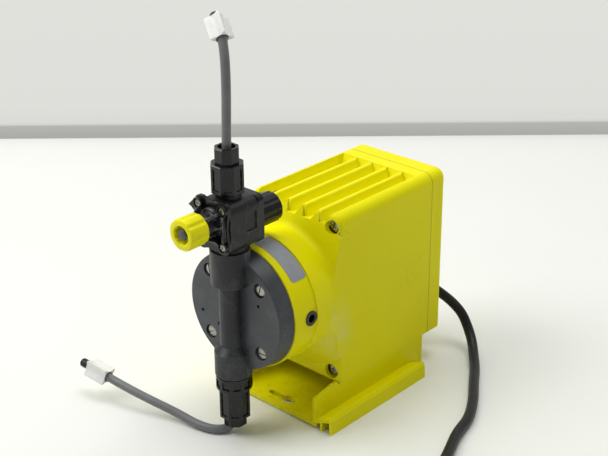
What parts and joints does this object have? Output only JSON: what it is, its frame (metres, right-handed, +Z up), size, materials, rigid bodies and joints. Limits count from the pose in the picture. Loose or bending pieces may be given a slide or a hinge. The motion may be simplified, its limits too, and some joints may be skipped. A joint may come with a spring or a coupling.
{
  "type": "diaphragm metering pump",
  "caption": "Solenoid-driven diaphragm metering pump: grooved box housing on railed base, round liquid end with ball valves, knobbed four-function valve, tubes and mains cord.",
  "frame": {"origin": "on the standing plane of the rails, under the middle of the pump's length and width, tubes and cord left out", "axes": "+Z up, -Y towards the liquid end, +Y towards the control panel, +X towards the pump's right flank as seen from behind the panel's far side"},
  "size_m": [0.4326, 0.2638, 0.3047],
  "materials": {
    "yellow": "semi-gloss lemon yellow",
    "yellow_knob": "moulded yellow plastic",
    "black_plastic": "moulded black plastic",
    "grey_pvc": "grey PVC",
    "pin_grey": "grey moulded plastic",
    "steel_screw": "stainless steel",
    "label_grey": "blank silver-grey film",
    "solenoid_steel": "plated steel",
    "coil_potting": "potted winding",
    "rubber": "black elastomer",
    "ptfe": "white fluoropolymer",
    "board": "printed circuit board",
    "ceramic_ball": "ground ceramic",
    "tube_grey": "grey polyethylene tube",
    "white_plastic": "white moulded plastic",
    "black_plug": "black closing plug",
    "cord_black": "black cord jacket"
  },
  "bodies": {
    "pump": {"base": "yellow", "housing": "yellow", "rear_cover": "yellow", "valve_front_plate": "black_plastic", "valve_rear_plate": "black_plastic", "suction_nut": "black_plastic", "suction_collar": "black_plastic", "discharge_nut": "black_plastic", "vent_bush": "black_plastic", "suction_ferrule": "black_plastic", "discharge_ferrule": "black_plastic", "pump_head": "grey_pvc", "valve_body": "grey_pvc", "suction_cage": "grey_pvc", "discharge_cage": "grey_pvc", "housing_screws": "steel_screw", "head_screws": "steel_screw", "front_plate_screws": "steel_screw", "rear_plate_screws": "steel_screw", "return_spring": "steel_screw", "relief_spring": "steel_screw", "prime_spring": "steel_screw", "label_plate": "label_grey", "solenoid_yoke": "solenoid_steel", "solenoid_end_plate": "solenoid_steel", "backing_plate": "solenoid_steel", "solenoid_coil": "coil_potting", "armature_bumper": "rubber", "suction_seal": "rubber", "suction_seat": "rubber", "discharge_seat": "rubber", "cord_gland": "rubber", "diaphragm": "ptfe", "relief_diaphragm": "ptfe", "prime_diaphragm": "ptfe", "circuit_board": "board", "speed_pot": "board", "suction_tube": "tube_grey", "discharge_tube": "tube_grey", "suction_fitting": "white_plastic", "discharge_fitting": "white_plastic", "suction_plug": "black_plug", "discharge_plug": "black_plug", "power_cord": "cord_black", "cord_coil": "cord_black", "cord_tail": "cord_black", "mains_plug": "cord_black"},
    "armature": {"armature": "solenoid_steel"},
    "stop_screw": {"stop_screw": "steel_screw"},
    "stroke_knob": {"stroke_knob": "black_plastic"},
    "speed_knob": {"speed_knob": "black_plastic"},
    "relief_stem": {"relief_stem": "pin_grey"},
    "relief_knob": {"relief_knob": "yellow_knob"},
    "prime_stem": {"prime_stem": "pin_grey"},
    "prime_knob": {"prime_knob": "black_plastic"},
    "suction_ball": {"suction_ball": "ceramic_ball"},
    "discharge_ball": {"discharge_ball": "ceramic_ball"}
  },
  "joints": [
    {"name": "armature_stroke", "type": "slide", "parent": "pump", "child": "armature", "axis": [0, -1, 0], "range_m": [0, 0.00125], "stiffness_N_per_m": 4000, "springref_m": -0.0005, "deforming": ["return_spring", "diaphragm"]},
    {"name": "stop_advance", "type": "slide", "parent": "pump", "child": "stop_screw", "axis": [0, -1, 0], "range_m": [0, 0.00125]},
    {"name": "stroke_knob_turn", "type": "hinge", "parent": "stop_screw", "child": "stroke_knob", "pos_m": [0, 0.115, 0.0959], "axis": [0, -1, 0], "range_deg": [0, 300]},
    {"name": "speed_knob_turn", "type": "hinge", "parent": "pump", "child": "speed_knob", "pos_m": [0, 0.112, 0.1339], "axis": [0, -1, 0], "range_deg": [-150, 150]},
    {"name": "relief_pull", "type": "slide", "parent": "pump", "child": "relief_stem", "axis": [0, -1, 0], "range_m": [0, 0.003], "deforming": ["relief_spring"]},
    {"name": "relief_turn", "type": "hinge", "parent": "relief_stem", "child": "relief_knob", "pos_m": [0, -0.11, 0.17], "axis": [0, -1, 0], "range_deg": [0, 90]},
    {"name": "prime_pull", "type": "slide", "parent": "pump", "child": "prime_stem", "axis": [0, 1, 0], "range_m": [0, 0.003], "deforming": ["prime_spring"]},
    {"name": "prime_turn", "type": "hinge", "parent": "prime_stem", "child": "prime_knob", "pos_m": [0, -0.05, 0.1635], "axis": [0, 1, 0], "range_deg": [0, 90]},
    {"name": "suction_ball_lift", "type": "slide", "parent": "pump", "child": "suction_ball", "axis": [0, 0, 1], "range_m": [0, 0.002]},
    {"name": "discharge_ball_lift", "type": "slide", "parent": "pump", "child": "discharge_ball", "axis": [0, 0, 1], "range_m": [0, 0.002]}
  ],
  "couplings": [
    {"joint": "stroke_knob_turn", "follows": "stop_advance", "rad_per_m": 4188.8},
    {"joint": "relief_turn", "follows": "relief_pull", "rad_per_m": 523.6},
    {"joint": "prime_turn", "follows": "prime_pull", "rad_per_m": 523.6}
  ]
}
